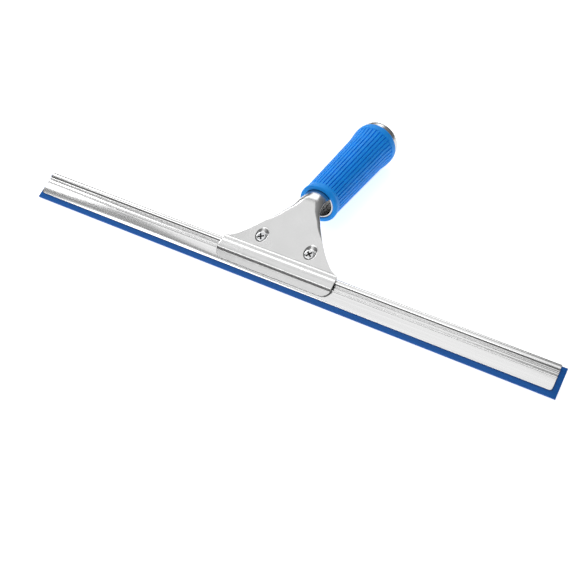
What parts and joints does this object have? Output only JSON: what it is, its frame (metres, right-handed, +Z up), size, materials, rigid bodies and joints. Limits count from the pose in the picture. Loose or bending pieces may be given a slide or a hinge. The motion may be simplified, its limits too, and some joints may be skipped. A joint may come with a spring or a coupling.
{
  "type": "window squeegee",
  "caption": "Window cleaning squeegee: a rubber blade in a steel channel, clamped by a stamped steel handle with a ribbed rubber grip.",
  "frame": {"origin": "middle of the footprint, on the surface the squeegee lies on", "axes": "+X along the blade, +Y from the blade to the open end of the handle, +Z up with the squeegee lying face up"},
  "size_m": [0.4626, 0.2002, 0.0414],
  "materials": {
    "steel_satin": "satin",
    "steel_bright": "bright rolled",
    "steel_zinc_plated": "bright zinc plated",
    "rubber_blade_blue": "smooth matte",
    "rubber_grip_blue": "ribbed matte"
  },
  "bodies": {
    "handle": {"handle_shell": "steel_satin", "grip_sleeve": "rubber_grip_blue"},
    "lower_jaw": {"lower_jaw": "steel_satin", "nut_left": "steel_zinc_plated", "nut_right": "steel_zinc_plated"},
    "screw_left": {"screw_left": "steel_zinc_plated"},
    "screw_right": {"screw_right": "steel_zinc_plated"},
    "channel": {"channel": "steel_bright"},
    "rubber": {"rubber_blade": "rubber_blade_blue"}
  },
  "joints": [
    {"name": "screw_left_turn", "type": "hinge", "parent": "handle", "child": "screw_left", "pos_m": [-0.0235, -0.06864, 0.01837], "axis": [0, -0.4067, 0.9135], "range_deg": [0, 1080]},
    {"name": "screw_right_turn", "type": "hinge", "parent": "handle", "child": "screw_right", "pos_m": [0.0205, -0.06864, 0.01837], "axis": [0, -0.4067, 0.9135], "range_deg": [0, 1080]},
    {"name": "lower_jaw_open", "type": "hinge", "parent": "handle", "child": "lower_jaw", "pos_m": [-0.0015, -0.01265, 0.03399], "axis": [1, 0, 0], "range_deg": [0, 2.39]},
    {"name": "channel_slide", "type": "slide", "parent": "handle", "child": "channel", "axis": [1, 0, 0], "range_m": [-0.15, 0.15]},
    {"name": "rubber_slide", "type": "slide", "parent": "channel", "child": "rubber", "axis": [1, 0, 0], "range_m": [-0.2, 0.2]}
  ],
  "couplings": [
    {"joint": "screw_left_turn", "follows": "lower_jaw_open", "ratio": 451},
    {"joint": "screw_right_turn", "follows": "lower_jaw_open", "ratio": 451}
  ]
}
